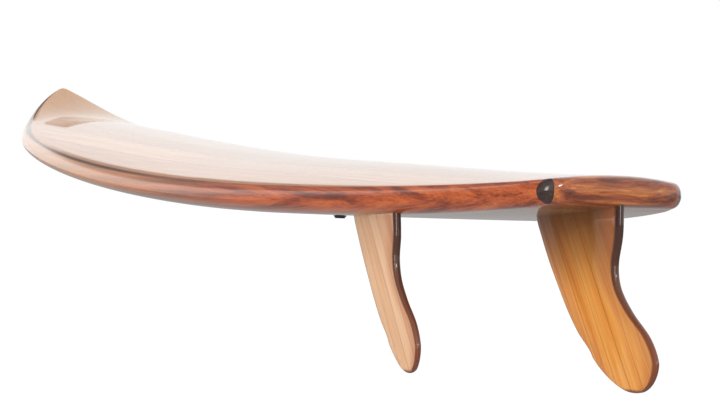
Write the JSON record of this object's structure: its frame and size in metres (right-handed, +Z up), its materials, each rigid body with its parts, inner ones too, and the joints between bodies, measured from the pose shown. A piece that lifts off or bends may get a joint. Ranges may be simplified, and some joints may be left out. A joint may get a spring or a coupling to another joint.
{
  "type": "surfboard",
  "caption": "Glossy hollow wooden surfboard with a square tail, an upturned nose, dark tail corners, laminated raked fins and a screw-in drain plug.",
  "frame": {"origin": "middle of the bounding box, at the level of the fin tips", "axes": "+X from the tail to the nose, +Y to port, +Z up through the deck"},
  "size_m": [1.8939, 0.504, 0.442],
  "materials": {
    "rail_cedar": "varnished to a high gloss",
    "nose_timber": "varnished to a high gloss",
    "tail_timber": "varnished, streaked grain",
    "dark_hardwood": "varnished to a high gloss",
    "deck_timber": "varnished to a high gloss",
    "bottom_timber": "varnished to a high gloss",
    "frame_plywood": "bare plywood",
    "fin_laminate": "laminated strips under clear resin",
    "black_plastic": "moulded",
    "seal_rubber": "smooth",
    "bar_steel": "drawn bar"
  },
  "bodies": {
    "board": {"port_rail": "rail_cedar", "starboard_rail": "rail_cedar", "nose_block": "nose_timber", "tail_block": "tail_timber", "tail_strip": "tail_timber", "port_tail_corner": "dark_hardwood", "starboard_tail_corner": "dark_hardwood", "port_deck_plank_1": "deck_timber", "port_deck_plank_2": "deck_timber", "port_deck_plank_3": "deck_timber", "port_deck_plank_4": "deck_timber", "starboard_deck_plank_1": "deck_timber", "starboard_deck_plank_2": "deck_timber", "starboard_deck_plank_3": "deck_timber", "starboard_deck_plank_4": "deck_timber", "port_bottom_plank_1": "bottom_timber", "port_bottom_plank_2": "bottom_timber", "port_bottom_plank_3": "bottom_timber", "port_bottom_plank_4": "bottom_timber", "starboard_bottom_plank_1": "bottom_timber", "starboard_bottom_plank_2": "bottom_timber", "starboard_bottom_plank_3": "bottom_timber", "starboard_bottom_plank_4": "bottom_timber", "spine": "frame_plywood", "rib_1": "frame_plywood", "rib_2": "frame_plywood", "rib_3": "frame_plywood", "rib_4": "frame_plywood", "rib_5": "frame_plywood", "rib_6": "frame_plywood", "rib_7": "frame_plywood", "centre_fin": "fin_laminate", "port_side_fin": "fin_laminate", "starboard_side_fin": "fin_laminate", "port_tail_fin_block": "frame_plywood", "starboard_tail_fin_block": "frame_plywood", "port_side_fin_block": "frame_plywood", "starboard_side_fin_block": "frame_plywood", "drain_socket": "black_plastic", "leash_plank": "deck_timber", "leash_plate": "dark_hardwood", "leash_cup": "black_plastic", "leash_cup_floor": "black_plastic", "leash_bar": "bar_steel"},
    "drain_seal": {"drain_seal": "seal_rubber"},
    "drain_screw": {"drain_screw": "black_plastic"}
  },
  "joints": [
    {"name": "plug_lift", "type": "slide", "parent": "board", "child": "drain_seal", "axis": [0, 0, -1], "range_m": [0, 0.012]},
    {"name": "plug_turn", "type": "hinge", "parent": "drain_seal", "child": "drain_screw", "pos_m": [-0.1395, 0.029, 0.22749], "axis": [0, 0, -1], "range_deg": [0, 1441]}
  ],
  "couplings": [
    {"joint": "plug_turn", "follows": "plug_lift", "rad_per_m": 2094.4}
  ]
}
